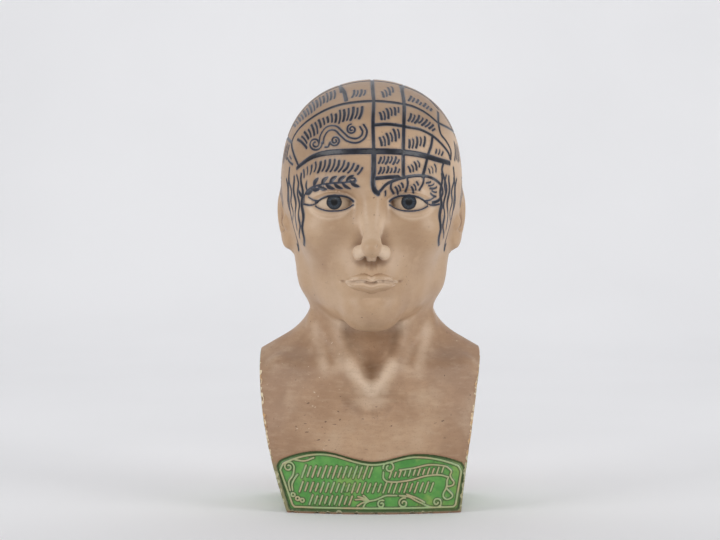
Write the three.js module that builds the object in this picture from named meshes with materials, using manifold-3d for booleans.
// A phrenology head: an earthenware bust on a flat foot, its sides cut off straight like a herm's,
// with a serpentine plaque pressed into the front of the foot. It is built as one closed solid.
// Millimetres, +Z up, the face looks towards -Y, and the origin is the middle of the underside.

import * as THREE from 'three';
import { mergeVertices } from 'three/addons/utils/BufferGeometryUtils.js';
import Module from 'manifold-3d';

// Heights of the whole bust
const height = 300; // underside to crown
const chinLevel = 128; // underside to the chin

// Foot and cut sides in the front view, each measured from the middle of the face
const footLeft = 58.5; // to the cut side at the underside, on the left of the picture
const footRight = 62.2;
const shoulderLeft = 79; // to the cut side where it stops widening
const shoulderRight = 77;
const shoulderLevel = 105; // height at which the cut sides stop widening
const footDepth = 101; // front to back
const footBow = 8.5; // how far the front of the foot bows forward of its ends
const footTop = 72; // level at which the foot has run out into chest and back
const headBack = 6.5; // the line of the neck stands this far behind the middle of the foot

// Plaque pressed into the front of the foot
const plaqueSill = 1.6; // underside to its lower edge
const plaqueHeight = 42; // lower edge to the higher of its two swells
const plaqueDepth = 1.2; // how far its ground lies behind the face of the foot
const rimFoot = 1.3; // clay left between its lower corners and the cut sides
const rimLeft = 3.4; // the same at its upper left corner
const rimRight = 1.5; // the same at its upper right corner
const cornerRound = 3; // how far its corners are rounded off
const beadInset = 2.6; // edge of the plaque to the middle of the bead that runs round it
const beadWidth = 1.5;
const beadHeight = 0.9;
const lineWidth = 1.3; // raised ornament inside the bead
const lineHeight = 0.8;
const strokeWidth = 1.1; // rows of strokes
const bedding = 0.5; // every raised line reaches this far into the ground

// Fineness of the faceted surface: the spacing of the first net, then the longest edges allowed
const netStep = 16;
const earStep = 3.8; // spacing of the net of the ears
const faceEdge = 9.6;
const featureEdge = 3.4; // eyes, nose and mouth

// The free form is laid out in hundredths of the head, chin to crown: x to the right of the
// middle of the face, y back from the line of the neck, z up from the chin.
const share = (height - chinLevel) / 100;

function inShares(p) {
  return [p[0] / share, (p[1] - headBack) / share, (p[2] - chinLevel) / share];
}

// Rounded forms: each tells about how far the point p is outside its surface
function ball(p, centre, radii) {
  const q = [0, 1, 2].map((i) => (p[i] - centre[i]) / radii[i]);
  const scaled = Math.hypot(...q);
  const slope = Math.hypot(q[0] / radii[0], q[1] / radii[1], q[2] / radii[2]);
  return (scaled * (scaled - 1)) / Math.max(slope, 1e-6);
}

function rod(p, start, end, startRadius, endRadius) {
  const along = [0, 1, 2].map((i) => end[i] - start[i]);
  const square = along[0] ** 2 + along[1] ** 2 + along[2] ** 2;
  const dot = along.reduce((sum, a, i) => sum + a * (p[i] - start[i]), 0);
  const t = limit(dot / square);
  const gap = Math.hypot(...along.map((a, i) => p[i] - start[i] - t * a));
  return gap - (startRadius + t * (endRadius - startRadius));
}

// Two forms joined, one cut from the other, or what both share, with an edge softened that wide
function join(a, b, soft) {
  const near = Math.max(soft - Math.abs(a - b), 0) / soft;
  return Math.min(a, b) - (near * near * soft) / 4;
}

function cut(a, b, soft) {
  return -join(-a, b, soft);
}

function both(a, b, soft) {
  return -join(-a, -b, soft);
}

// A smooth rise that is 1 in the middle and has mostly run out that far from it
function hill(offset, reach) {
  return Math.exp(-((offset / reach) ** 2));
}

function limit(value, low = 0, high = 1) {
  return Math.min(Math.max(value, low), high);
}

// Where the point p was before a turn by that angle about an axis through the centre
function unturned(p, centre, axis, degrees) {
  const angle = THREE.MathUtils.degToRad(-degrees);
  const [i, j] = { x: [1, 2], y: [2, 0], z: [0, 1] }[axis];
  const u = p[i] - centre[i];
  const v = p[j] - centre[j];
  const out = [...p];
  out[i] = centre[i] + Math.cos(angle) * u - Math.sin(angle) * v;
  out[j] = centre[j] + Math.sin(angle) * u + Math.cos(angle) * v;
  return out;
}

// In the functions of the head, p is the point in shares, and h is the same point with the right
// and left halves folded together, so that what is drawn once stands on both sides.
const eyeLevel = 50;
const mouthLevel = 19.5;
const frontOfFace = -29;

// Skull, forehead, cheekbones, jaw, chin and the swell round the mouth
function skull(p, h) {
  let d = ball(h, [10.5, 8.1, 65.1], [25.9, 34.9, 31.7]);
  d = join(d, ball(p, [0, 8.1, 62.8], [30.2, 38.1, 37]), 4.7);
  d = join(d, ball(p, [0, 8.1, 51.2], [36, 36, 29.1]), 7);
  d = join(d, ball(p, [0, -9.9, 59.9], [29.7, 31.4, 33.7]), 15.1);
  d = join(d, ball(p, [0, -14.5, 33.7], [25.6, 25.6, 32]), 14);
  d = join(d, ball(h, [19.2, -26.7, 39.5], [8.7, 8.1, 5.8]), 10.5);
  d = join(d, rod(h, [4.7, -33.1, 7.6], [20.3, -4.7, 18.6], 6.4, 7), 10.5);
  d = join(d, rod(h, [20.3, -4.7, 18.6], [25, 3.5, 34.9], 7, 7), 9.3);
  d = join(d, ball(p, [0, -36.6, 7], [8.1, 8.1, 7]), 7);
  return join(d, ball(p, [0, -33.1, 20.9], [12.2, 11.6, 11.6]), 9.3);
}

// Brow ridge, socket, eyeball, the two lids and the crease over the upper one
function eyes(p, h, d) {
  const centre = [14.7, -32.6, eyeLevel];
  const across = (h[0] - centre[0]) / 7.45;
  const upper = eyeLevel + 2.9 * (1 - limit(Math.abs(across + 0.08) ** 2.3)) ** 0.8;
  const lower = eyeLevel - 0.2 - 2.3 * (1 - limit(Math.abs(across - 0.06) ** 2.3)) ** 0.8;
  const front = p[1] - frontOfFace;
  d = join(d, rod(h, [4.7, -40.7, 56.7], [20.3, -33.4, 59.3], 2.1, 1.2), 9.3);
  d = cut(d, ball(h, [14.5, -44.8, 50.6], [8.7, 5.8, 5.2]), 7);
  d = cut(d, ball(h, [8.1, -44.8, 49.7], [3.2, 3.5, 4.1]), 5.2);
  d = join(d, both(ball(h, centre, [8.5, 8, 7.3]), front, 1.7), 2.9);
  const between = Math.max(p[2] - upper, lower - p[2]);
  const reach = both(ball(h, centre, [9, 10.5, 8.1]), front, 0.6);
  d = cut(d, both(between, reach, 0.8), 1.4);
  d = join(d, ball(h, centre, [8.3, 6.9, 6.9]), 0.6);
  if (front > 0) return d;
  const crease = eyeLevel + 5 - 2.7 * ((h[0] - centre[0]) / 8.1) ** 2;
  return d + 0.7 * hill(h[0] - centre[0], 7.6) * hill(p[2] - crease, 1.3);
}

// Bridge, tip, wings, the strip between the nostrils, and the nostrils
function nose(p, h, d) {
  const wing = [4.8, -45.6, 31.2];
  const nostril = [2.8, -47.3, 28.5];
  d = join(d, rod(p, [0, -39, 52.3], [0, -47.7, 36.6], 2.7, 3.1), 5.8);
  d = join(d, ball(p, [0, -50, 33.1], [3.6, 4.4, 3.5]), 4.1);
  d = join(d, ball(unturned(h, wing, 'z', -22), wing, [2.3, 4.1, 2.8]), 1.9);
  d = join(d, rod(p, [0, -49.4, 30.5], [0, -45.3, 29.1], 1.3, 1.6), 1.5);
  return cut(d, ball(unturned(h, nostril, 'z', -28), nostril, [1.2, 2.4, 1.7]), 0.8);
}

// The rise of a lip from its edge to its fullest height and its fall to the skin
function lip(t, fullest) {
  if (t <= 0 || t >= 1) return 0;
  if (t < fullest) return Math.sin((Math.PI / 2) * (t / fullest)) ** 0.8;
  return Math.cos((Math.PI / 2) * ((t - fullest) / (1 - fullest)));
}

// Lips, the line between them, the groove under the nose and the hollow over the chin
function mouth(p, d) {
  if (p[1] > frontOfFace) return d;
  const halfWidth = 10.8;
  const [x, , z] = p;
  const side = Math.abs(x);
  const u = side / halfWidth;
  const line = mouthLevel - 0.4 * hill(x, 1.75) + 0.3 * hill(side - 3.8, 2.3);
  const upper = 3.5 * limit(1 - u ** 2) ** 0.8 - 0.65 * hill(x, 1.4);
  const lower = 4.2 * limit(1 - u ** 2.4) ** 0.85;
  const full = limit(1.02 - u ** 3) ** 0.7;
  d -= 1.45 * lip((z - line) / Math.max(upper, 0.25), 0.42) * full * (1 + 0.25 * hill(x, 2));
  d -= 1.75 * lip((line - z) / Math.max(lower, 0.25), 0.42) * full;
  d += 0.7 * hill(z - line, 0.9) * limit((1.16 - u) / 0.16);
  d += 0.52 * hill(side - halfWidth - 0.9, 1.5) * hill(z - line + 0.3, 2);
  d += (0.52 * hill(x, 1.1) - 0.32 * hill(side - 2, 0.9)) * hill(z - 25.6, 2.7);
  return d + 0.87 * hill(x, 7) * hill(z - 12.8, 2);
}

// Ear: the shell with its hollow, the inner ridge, the bowl, and the flap before it
function ear(h) {
  const root = [34.9, 4.7, 42.4];
  const q = unturned(unturned(unturned(h, root, 'x', -10), root, 'y', 5), root, 'z', -18);
  let d = ball(q, [35.4, 6.1, 44.8], [2.2, 7.3, 10.8]);
  d = join(d, ball(q, [34.7, 3.2, 33.4], [1.9, 3.5, 3.8]), 5.2);
  d = join(d, ball(q, [33.2, 6.4, 45], [3, 6.4, 9.6]), 2);
  d = cut(d, ball(q, [38, 5.5, 45.3], [2.6, 5, 8]), 0.9);
  d = join(d, rod(q, [36.3, 7.6, 39.8], [36.2, 6.7, 49.4], 1.2, 1), 1.4);
  d = cut(d, ball(q, [37.5, 3.2, 41.6], [3, 3.1, 4.2]), 0.9);
  return join(d, ball(q, [36.4, -0.6, 40.6], [2.2, 2.2, 3]), 1.2);
}

// The same rod on both sides of the head, the two melted together where they meet in the middle
function rodPair(p, start, end, startRadius, endRadius, soft) {
  const mirrored = [-p[0], p[1], p[2]];
  const right = rod(p, start, end, startRadius, endRadius);
  return join(right, rod(mirrored, start, end, startRadius, endRadius), soft);
}

// Neck, shoulders and chest, with two sinews on each side, the notched rim where the inner ones
// meet, the collarbones, the throat that narrows into the notch, and a shallow groove below the rim
function trunk(p, h, d) {
  d = join(d, rod([p[0], p[1] * 0.96, p[2]], [0, 4.1, 25.6], [0, 3.5, -22.1], 23, 24.7), 7);
  d = join(d, rod(h, [4.7, 5.8, -9.3], [57, 4.7, -39.5], 19.2, 19.2), 11.6);
  d = join(d, ball(p, [0, -4.7, -39.5], [53.5, 28.5, 30.2]), 9.3);
  d = join(d, rod(h, [24, 4.5, 20], [8.8, -22.4, -11.5], 4.4, 2.4), 5);
  d = join(d, rod(h, [23.5, -5, 2], [18.2, -19, -17], 2, 2.6), 4);
  d = join(d, rodPair(p, [9, -22.8, -12], [0.5, -27, -23.3], 2.4, 4.4, 5), 3.5);
  d = join(d, rod(h, [7, -25.8, -20.5], [37, -13.4, -16.5], 2.4, 1.6), 11);
  d = cut(d, rod(p, [0, -22.8, -1], [0, -29.2, -17.6], 8, 1.8), 6);
  return cut(d, rodPair(p, [9, -33.6, -28.5], [0.5, -37.2, -34.6], 2.4, 3.2, 6), 4);
}

// The front of the foot is a shallow bow in plan: its place at a distance x from the middle.
const footHalf = (footLeft + footRight) / 2;
const footEdge = 5; // how softly its front and back are rounded
const footTopSoft = 34; // how softly it runs out above
const footBlend = 10; // how softly it runs into the chest

function footFront(x) {
  return footBow * (x / footHalf) ** 2 - footDepth / 2;
}

const spare = 1.25 * netStep; // the uncut form runs this far past the cut sides and the underside
const spread = Math.max(shoulderLeft, shoulderRight) + spare;

// The uncut bust without its ears: how far the point p is outside it, in millimetres
function bust(p) {
  const q = inShares(p);
  const h = [Math.hypot(q[0], 0.1), q[1], q[2]];
  let d = skull(q, h);
  d = eyes(q, h, d);
  d = nose(q, h, d);
  d = mouth(q, d);
  d = trunk(q, h, d) * share;
  const foot = both(footFront(p[0]) - p[1], p[1] - footDepth / 2, footEdge);
  d = join(d, both(foot, p[2] - footTop, footTopSoft), footBlend);
  return Math.max(d, Math.abs(p[0]) - spread, -spare - p[2]);
}

// Planes of the grid between stops, each stop being a place and the step that follows it
function planes(...stops) {
  const out = [];
  stops.slice(0, -1).forEach(([start, step], i) => {
    const end = stops[i + 1][0];
    const count = Math.max(Math.ceil((end - start) / step), 1);
    for (let k = 0; k < count; k++) out.push(start + ((end - start) * k) / count);
  });
  out.push(stops[stops.length - 1][0]);
  return out;
}

// The net has one corner in each cell of the grid that the surface passes through, set among
// the places where the surface crosses the cell's edges, and one face for each crossed edge.
function net(field, grid) {
  const [nx, ny, nz] = grid.map((list) => list.length);
  const number = (i, j, k) => (i * ny + j) * nz + k;
  const values = new Float64Array(nx * ny * nz);
  for (let i = 0; i < nx; i++) {
    for (let j = 0; j < ny; j++) {
      for (let k = 0; k < nz; k++) {
        values[number(i, j, k)] = field([grid[0][i], grid[1][j], grid[2][k]]);
      }
    }
  }
  const corners = new Map();
  const points = [];
  const addCrossing = (cell, place) => {
    const key = number(...cell);
    if (!corners.has(key)) {
      corners.set(key, points.length);
      points.push([0, 0, 0, 0]);
    }
    const sum = points[corners.get(key)];
    place.forEach((value, axis) => (sum[axis] += value));
    sum[3] += 1;
    return corners.get(key);
  };
  const faces = [];
  for (let axis = 0; axis < 3; axis++) {
    const u = (axis + 1) % 3;
    const v = (axis + 2) % 3;
    for (let i = 1; i < nx - 1; i++) {
      for (let j = 1; j < ny - 1; j++) {
        for (let k = 1; k < nz - 1; k++) {
          const a = [i, j, k];
          const b = [...a];
          b[axis] += 1;
          const start = values[number(...a)];
          const end = values[number(...b)];
          if (start < 0 === end < 0) continue;
          const place = a.map((index, n) => grid[n][index]);
          place[axis] += (grid[axis][b[axis]] - place[axis]) * (start / (start - end));
          const face = [[1, 1], [0, 1], [0, 0], [1, 0]].map(([du, dv]) => {
            const cell = [...a];
            cell[u] -= du;
            cell[v] -= dv;
            return addCrossing(cell, place);
          });
          faces.push(start < 0 ? face : face.reverse());
        }
      }
    }
  }
  return { points: points.map((s) => [s[0] / s[3], s[1] / s[3], s[2] / s[3]]), faces };
}

function distance(a, b) {
  return Math.hypot(a[0] - b[0], a[1] - b[1], a[2] - b[2]);
}

// Each four-sided face is halved along its shorter diagonal.
function halved(points, faces) {
  return faces.flatMap(([a, b, c, d]) =>
    distance(points[a], points[c]) < distance(points[b], points[d])
      ? [[a, b, c], [a, c, d]]
      : [[a, b, d], [b, c, d]]
  );
}

// Moves a point onto the surface, along the field's slope
function settled(field, point, steps = 3) {
  const probe = 0.05;
  let p = point;
  for (let step = 0; step < steps; step++) {
    const slope = [0, 1, 2].map((axis) => {
      const ahead = [...p];
      const behind = [...p];
      ahead[axis] += probe;
      behind[axis] -= probe;
      return (field(ahead) - field(behind)) / (2 * probe);
    });
    const square = Math.max(slope[0] ** 2 + slope[1] ** 2 + slope[2] ** 2, 1e-4);
    const move = field(p) / square;
    const most = 1.5 / Math.max(Math.abs(move) * Math.sqrt(square), 1.5);
    p = p.map((value, axis) => value - slope[axis] * move * most);
  }
  return p;
}

// How long an edge may be round the point p
function edgeAllowed(p) {
  const [x, y, z] = inShares(p);
  const side = Math.abs(x);
  if (y > frontOfFace || z < 0 || z > 64) return Infinity;
  const eye = Math.abs(side - 14.7) < 9.5 && Math.abs(z - eyeLevel) < 6;
  const lips = side < 12 && Math.abs(z - mouthLevel) < 5;
  const snout = side < 8 && z > 27 && z < 37;
  return eye || lips || snout ? featureEdge : faceEdge;
}

// Splits the edges that are too long, and the triangles that they bound, and settles the new
// corners on the surface
function refined(field, points, triangles) {
  const middles = new Map();
  const middle = (a, b) => {
    const key = a < b ? a + '-' + b : b + '-' + a;
    if (!middles.has(key)) {
      const half = points[a].map((value, axis) => (value + points[b][axis]) / 2);
      const long = distance(points[a], points[b]) > edgeAllowed(half);
      if (long) points.push(settled(field, half));
      middles.set(key, long ? points.length - 1 : -1);
    }
    return middles.get(key);
  };
  return triangles.flatMap((triangle) => {
    const mids = triangle.map((a, i) => middle(a, triangle[(i + 1) % 3]));
    const count = mids.filter((m) => m >= 0).length;
    if (count === 0) return [triangle];
    const turn = count === 2 ? (mids.indexOf(-1) + 1) % 3 : mids.findIndex((m) => m >= 0);
    const [a, b, c] = [0, 1, 2].map((i) => triangle[(i + turn) % 3]);
    const [ab, bc, ca] = [0, 1, 2].map((i) => mids[(i + turn) % 3]);
    if (count === 1) return [[a, ab, c], [ab, b, c]];
    if (count === 3) return [[a, ab, ca], [ab, b, bc], [ca, bc, c], [ab, bc, ca]];
    return distance(points[a], points[bc]) < distance(points[ab], points[c])
      ? [[a, ab, bc], [ab, b, bc], [a, bc, c]]
      : [[a, ab, c], [ab, b, bc], [ab, bc, c]];
  });
}

// Each point moved part of the way to the middle of its neighbours
function drawnIn(points, triangles) {
  const sums = points.map(() => [0, 0, 0, 0]);
  triangles.flatMap(([a, b, c]) => [[a, b], [b, c], [c, a]]).forEach(([from, to]) => {
    points[to].forEach((value, axis) => (sums[from][axis] += value));
    sums[from][3] += 1;
  });
  const pull = 0.6;
  return points.map((point, i) =>
    point.map((value, axis) => value + pull * (sums[i][axis] / sums[i][3] - value))
  );
}

const wasm = await Module();
wasm.setup();

function solidOf(positions, triangles) {
  return new wasm.Manifold(
    new wasm.Mesh({
      numProp: 3,
      vertProperties: new Float32Array(positions.flat()),
      triVerts: new Uint32Array(triangles.flat()),
    })
  );
}

// A flat outline in the front view, or in plan, made into a solid of that depth
function prism(outline, depth, view) {
  const shape = new THREE.Shape(outline.map(([u, v]) => new THREE.Vector2(u, v)));
  const extruded = new THREE.ExtrudeGeometry(shape, { depth, bevelEnabled: false });
  extruded.translate(0, 0, -depth / 2);
  if (view === 'front') extruded.rotateX(Math.PI / 2);
  extruded.deleteAttribute('normal');
  extruded.deleteAttribute('uv');
  const geometry = mergeVertices(extruded, 1e-4);
  const { array } = geometry.attributes.position;
  return new wasm.Manifold(
    new wasm.Mesh({
      numProp: 3,
      vertProperties: array,
      triVerts: new Uint32Array(geometry.index.array),
    })
  );
}

// Half width of the bust between its cut sides at a height z, on either side
function cutSide(z, left) {
  const t = limit(z / shoulderLevel);
  if (left) return footLeft + (shoulderLeft - footLeft) * (1 - (1 - t) ** 1.8);
  return footRight + (shoulderRight - footRight) * t ** 1.15;
}

function evenly(count, make) {
  return Array.from({ length: count + 1 }, (_, i) => make(i / count));
}

// The block that the bust is cut out of: flat below, with the two cut sides
const overTop = height + spare;
const wholeDepth = 4 * footDepth; // deeper than the bust

function cutterBlock() {
  const steps = 14;
  const rightEdge = evenly(steps, (t) => [cutSide(t * shoulderLevel, false), t * shoulderLevel]);
  const leftEdge = evenly(steps, (t) => [-cutSide(t * shoulderLevel, true), t * shoulderLevel]);
  const outline = [
    ...rightEdge,
    [shoulderRight, overTop],
    [-shoulderLeft, overTop],
    ...leftEdge.reverse(),
  ];
  return prism(outline, wholeDepth, 'front');
}

// The plaque's upper edge swells twice, with a dip between: heights as shares of the plaque's,
// places as shares of the way from its upper left corner to its upper right one
const cornerLeft = 0.79;
const cornerRight = 0.76;
const swellLeft = { at: 0.23, level: 1 };
const dip = { at: 0.515, level: 0.835 };
const swellRight = { at: 0.745, level: 0.955 };

function crest(t) {
  if (t < swellLeft.at) {
    const rise = Math.sin((Math.PI / 2) * (t / swellLeft.at)) ** 0.8;
    return cornerLeft + (swellLeft.level - cornerLeft) * rise;
  }
  if (t > swellRight.at) {
    const rise = Math.sin((Math.PI / 2) * ((1 - t) / (1 - swellRight.at))) ** 0.8;
    return cornerRight + (swellRight.level - cornerRight) * rise;
  }
  const [from, to] = t < dip.at ? [swellLeft, dip] : [dip, swellRight];
  const along = (t - from.at) / (to.at - from.at);
  return from.level + (to.level - from.level) * (0.5 - 0.5 * Math.cos(Math.PI * along));
}

const sillLeft = -(footLeft - rimFoot);
const sillRight = footRight - rimFoot;
const upperLeft = -(cutSide(plaqueSill + cornerLeft * plaqueHeight, true) - rimLeft);
const upperRight = cutSide(plaqueSill + cornerRight * plaqueHeight, false) - rimRight;

// The plaque's outline drawn in by some distance: sides, sill and upper edge, corners clipped round
function plaqueOutline(inset) {
  const span = upperRight - upperLeft;
  const top = evenly(18, (t) => [
    upperLeft + inset + t * (span - 2 * inset),
    plaqueSill + crest(t) * plaqueHeight - inset * 0.9,
  ]);
  top[0][1] -= cornerRound;
  top[top.length - 1][1] -= cornerRound;
  top.splice(1, 0, [top[0][0] + cornerRound * 0.25, top[0][1] + cornerRound * 0.7]);
  const last = top.length - 1;
  top.splice(last, 0, [top[last][0] - cornerRound * 0.25, top[last][1] + cornerRound * 0.7]);
  const clip = cornerRound * 0.5;
  const floor = plaqueSill + inset;
  const right = sillRight - inset;
  const left = sillLeft + inset;
  return [
    [left, floor + clip],
    [left + clip, floor],
    ...evenly(8, (t) => [left + clip + t * (right - left - 2 * clip), floor]).slice(1, -1),
    [right - clip, floor],
    [right, floor + clip],
    ...top.reverse(),
  ];
}

function ground(x) {
  return footFront(x) + plaqueDepth;
}

// Everything before the plaque's ground, inside its outline
function plaquePocket() {
  const far = -2 * footDepth;
  const bow = evenly(24, (t) => {
    const x = -spread + 2 * spread * t;
    return [x, ground(x)];
  });
  const before = prism([[-spread, far], [spread, far], ...bow.reverse()], 2 * height, 'plan');
  return prism(plaqueOutline(0), wholeDepth, 'front').intersect(before);
}

// A raised line that lies on the ground along a path of points in the front view
function raisedLine(path, width, rise, closed = false) {
  const count = path.length;
  const positions = [];
  path.forEach(([x, z], i) => {
    const before = path[closed ? (i + count - 1) % count : Math.max(i - 1, 0)];
    const after = path[closed ? (i + 1) % count : Math.min(i + 1, count - 1)];
    const length = Math.hypot(after[0] - before[0], after[1] - before[1]);
    const across = [-(after[1] - before[1]) / length, (after[0] - before[0]) / length];
    [[-0.5, -bedding], [0, rise], [0.5, -bedding]].forEach(([side, up]) => {
      const px = x + across[0] * side * width;
      positions.push([px, ground(px) - up, z + across[1] * side * width]);
    });
  });
  const triangles = [];
  for (let i = 0; i < (closed ? count : count - 1); i++) {
    const next = (i + 1) % count;
    for (let k = 0; k < 3; k++) {
      const [a, b] = [3 * i + k, 3 * i + ((k + 1) % 3)];
      const [c, e] = [3 * next + ((k + 1) % 3), 3 * next + k];
      triangles.push([a, c, b], [a, e, c]);
    }
  }
  if (!closed) {
    const end = 3 * (count - 1);
    triangles.push([0, 1, 2], [end, end + 2, end + 1]);
  }
  return solidOf(positions, triangles);
}

// Places on the plaque: u from -1 at its left edge to 1 at its right, w from 0 at the sill to 1
const plaqueMiddle = (upperLeft + upperRight + sillLeft + sillRight) / 4;
const plaqueHalf = (upperRight - upperLeft + sillRight - sillLeft) / 4;

function spot([u, w]) {
  return [plaqueMiddle + u * plaqueHalf, plaqueSill + w * plaqueHeight];
}

// A smooth path through a few spots
function sweep(spots, steps) {
  const curve = new THREE.CatmullRomCurve3(
    spots.map(spot).map(([x, z]) => new THREE.Vector3(x, 0, z)),
    false,
    'centripetal'
  );
  return curve.getPoints(steps).map((v) => [v.x, v.z]);
}

// A volute that winds in round a spot: radius as a share of the plaque's height, angles in degrees
function volute(centre, radius, start, sweepAngle, inner = 0.22) {
  const [x, z] = spot(centre);
  return evenly(Math.ceil(Math.abs(sweepAngle) / 50), (t) => {
    const angle = THREE.MathUtils.degToRad(start + sweepAngle * t);
    const r = radius * plaqueHeight * (1 - (1 - inner) * t);
    return [x + r * Math.cos(angle), z + r * Math.sin(angle)];
  });
}

function ring(centre, radius) {
  return volute(centre, radius, 0, 360, 1).slice(0, -1);
}

// Scrolls, ribbon, leaf and stems, each an open path
const ornament = [
  volute([-0.932, 0.72], 0.094, -20, 500),
  sweep([[-0.872, 0.69], [-0.885, 0.58], [-0.93, 0.47], [-0.915, 0.33]], 4),
  sweep([[-0.83, 0.6], [-0.868, 0.52], [-0.893, 0.43], [-0.888, 0.335]], 4),
  sweep([[-0.86, 0.84], [-0.75, 0.83], [-0.65, 0.885]], 3),
  volute([0.185, 0.735], 0.1, 190, -430, 0.35),
  sweep([[0.3, 0.69], [0.45, 0.718], [0.63, 0.768], [0.8, 0.742], [0.865, 0.68]], 7),
  sweep([[0.122, 0.66], [0.128, 0.54], [0.22, 0.495], [0.41, 0.52], [0.6, 0.588],
    [0.745, 0.597], [0.845, 0.555]], 10),
  sweep([[0.885, 0.66], [0.885, 0.58], [0.925, 0.5], [0.9, 0.45]], 3),
  sweep([[0.85, 0.5], [0.842, 0.42], [0.84, 0.36]], 2),
  sweep([[-0.04, 0.18], [0.03, 0.2], [0.09, 0.235], [0.15, 0.27], [0.27, 0.272]], 4),
  volute([0.1, 0.13], 0.072, 60, 430),
  sweep([[0.3, 0.27], [0.4, 0.25], [0.5, 0.17], [0.62, 0.085], [0.68, 0.065]], 5),
  sweep([[0.38, 0.29], [0.49, 0.225], [0.58, 0.15]], 3),
  volute([0.345, 0.145], 0.088, 70, 470),
  volute([0.715, 0.145], 0.088, -110, 470),
];

// Five blades of the leaf, fanned from the end of its stem
const leaf = [[-0.19, 0.205], [-0.16, 0.255], [-0.1, 0.275], [-0.165, 0.1], [-0.1, 0.085]];

// Rings: three small ones at the left, and the ribbon's hanging loop
const rings = [
  ring([-0.882, 0.262], 0.03),
  ring([-0.832, 0.201], 0.03),
  ring([-0.779, 0.175], 0.03),
  ring([0.862, 0.28], 0.06),
];

// A row of strokes between two spots, all leaning the same way, some reaching further than others
const strokeReaches = [1, 0.78, 0.9, 0.72, 0.95, 0.84];
const strokeLean = 0.12;

function strokes(start, end, tall, count) {
  return evenly(count - 1, (t) => {
    const i = Math.round(t * (count - 1));
    const u = start[0] + (end[0] - start[0]) * t;
    const w = start[1] + (end[1] - start[1]) * t;
    const reach = tall * strokeReaches[i % strokeReaches.length];
    const lean = strokeLean * reach;
    return [spot([u - lean, w - reach / 2]), spot([u + lean, w + reach / 2])];
  });
}

const strokeRows = [
  ...strokes([-0.76, 0.655], [-0.02, 0.655], 0.21, 14),
  ...strokes([0.2, 0.615], [0.78, 0.68], 0.1, 12),
  ...strokes([-0.79, 0.4], [0.66, 0.4], 0.17, 26),
  ...strokes([-0.68, 0.19], [-0.24, 0.19], 0.16, 9),
];

// Stops of the first net, in shares like the form: the whole of it, and the face where it is finer
const faceHalf = 22;
const beforeNose = -60;
const cheeks = -34;
const behindSkull = 52;
const underJaw = -3.5;
const underNose = 26;
const overBrows = 58;
const overCrown = 106;

// The faceted bust: a coarse net, made finer where the face needs it
function body() {
  const fromChin = (z) => chinLevel + z * share;
  const fromNeck = (y) => headBack + y * share;
  const edge = spread + netStep;
  const middling = 0.8 * netStep;
  const fine = 0.44 * netStep;
  const grid = [
    planes([-edge, netStep], [-faceHalf * share, fine], [faceHalf * share, netStep], [edge]),
    planes([fromNeck(beforeNose), fine], [fromNeck(cheeks), middling], [fromNeck(behindSkull)]),
    planes([-spare - netStep, netStep], [fromChin(underJaw), middling],
      [fromChin(underNose), fine], [fromChin(overBrows), middling], [fromChin(overCrown)]),
  ];
  const coarse = net(bust, grid);
  let points = coarse.points.map((point) => settled(bust, point));
  let triangles = halved(points, coarse.faces);
  for (let pass = 0; pass < 3; pass++) {
    triangles = refined(bust, points, triangles);
    points = drawnIn(points, triangles).map((point) => settled(bust, point));
  }
  // Lids, lips and nostrils are narrower than the triangles, and are rounded over.
  const isFine = points.map((point) => edgeAllowed(point) === featureEdge);
  const rounded = drawnIn(points, triangles);
  points = points.map((point, i) => (isFine[i] ? rounded[i] : point));
  return solidOf(points, triangles);
}

// The ear on the right of the picture, and its mirror image
function earPair() {
  const field = (p) => ear(inShares(p)) * share;
  const grid = [
    planes([24 * share, earStep], [48 * share]),
    planes([headBack - 10 * share, earStep], [headBack + 22 * share]),
    planes([chinLevel + 22 * share, earStep], [chinLevel + 64 * share]),
  ];
  const { points, faces } = net(field, grid);
  const placed = points.map((point) => settled(field, point));
  const mirrored = placed.map(([x, y, z]) => [-x, y, z]);
  const triangles = halved(placed, faces);
  const turned = triangles.map(([a, b, c]) => [a, c, b]);
  return solidOf(placed, triangles).add(solidOf(mirrored, turned));
}

function bustSolid() {
  let solid = body().intersect(cutterBlock()).subtract(plaquePocket()).add(earPair());
  solid = solid.add(raisedLine(plaqueOutline(beadInset), beadWidth, beadHeight, true));
  ornament.forEach((path) => (solid = solid.add(raisedLine(path, lineWidth, lineHeight))));
  leaf.forEach((tip) => {
    const blade = sweep([tip, [(tip[0] - 0.05) / 2, (tip[1] + 0.21) / 2], [-0.035, 0.18]], 3);
    solid = solid.add(raisedLine(blade, lineWidth, lineHeight));
  });
  rings.forEach((path) => (solid = solid.add(raisedLine(path, lineWidth, lineHeight, true))));
  strokeRows.forEach((path) => {
    solid = solid.add(raisedLine(path, strokeWidth, lineHeight));
  });
  return solid;
}

function geometryOf(solid) {
  const { vertProperties, triVerts } = solid.getMesh();
  const geometry = new THREE.BufferGeometry();
  geometry.setAttribute('position', new THREE.BufferAttribute(vertProperties, 3));
  geometry.setIndex(new THREE.BufferAttribute(triVerts, 1));
  geometry.computeVertexNormals();
  return geometry;
}

const glaze = new THREE.MeshStandardMaterial({ color: 0xb59a80, roughness: 0.4, metalness: 0 });
const bustMesh = new THREE.Mesh(geometryOf(bustSolid()), glaze);
bustMesh.name = 'bust';

const group = new THREE.Group();
group.add(bustMesh);

export default group;
